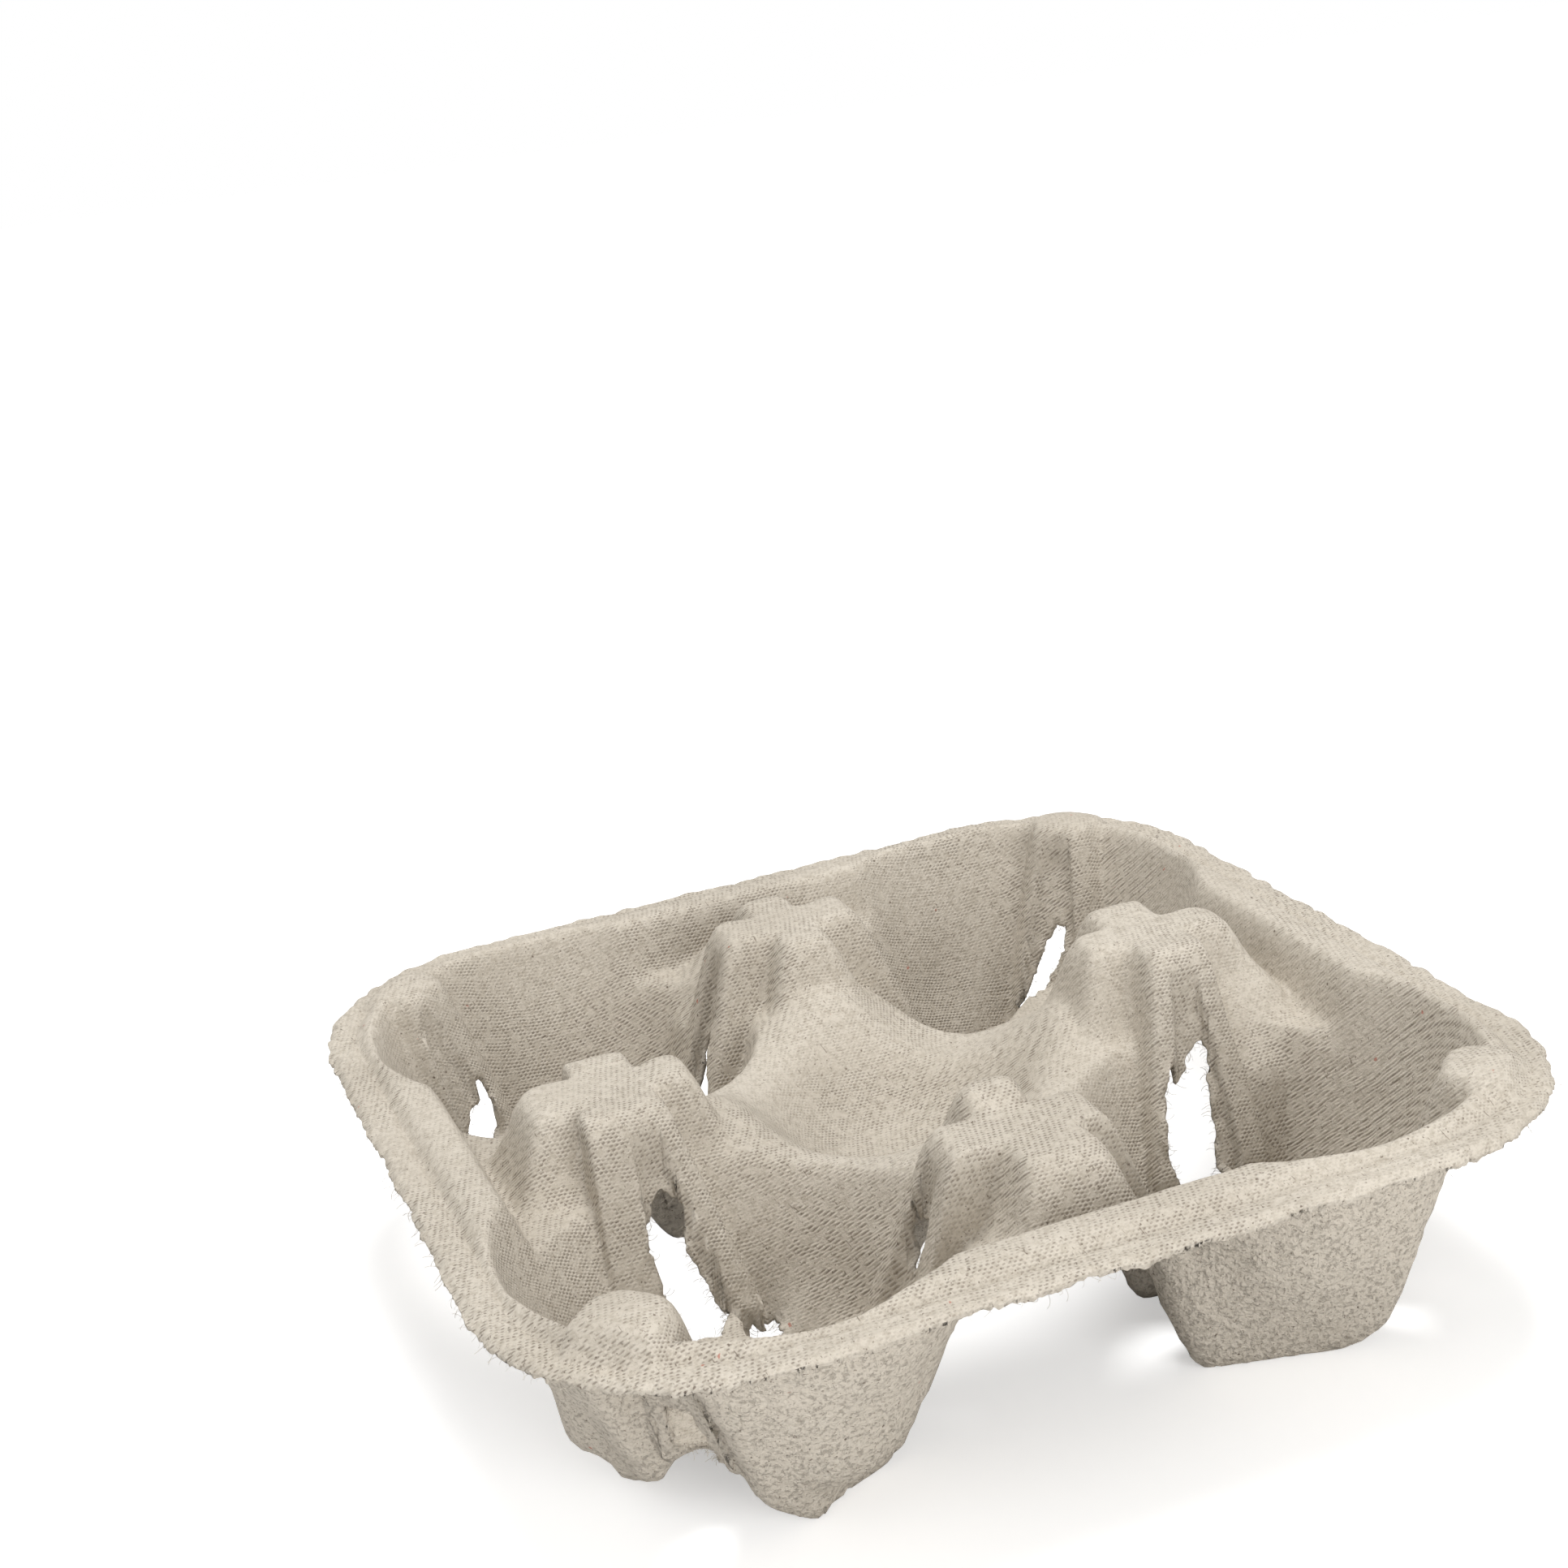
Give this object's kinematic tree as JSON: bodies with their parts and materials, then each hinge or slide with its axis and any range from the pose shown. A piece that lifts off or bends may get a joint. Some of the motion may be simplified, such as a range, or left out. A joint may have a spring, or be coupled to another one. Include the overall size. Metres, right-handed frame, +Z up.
{
  "type": "moulded pulp cup carrier",
  "caption": "Square moulded pulp tray that carries takeaway cups in conical wells, with posts between the wells, a centre dish and a rolled rim.",
  "frame": {"origin": "centre of the tray, on the plane that its feet stand on", "axes": "+Z up out of the wells, +X along the front side and +Y towards the back"},
  "size_m": [0.215, 0.215, 0.0583],
  "materials": {
    "pulp": "matt grey-beige recycled pulp, screen-marked on the upper side"
  },
  "bodies": {
    "root": {"carrier_tray": "pulp"}
  },
  "joints": []
}
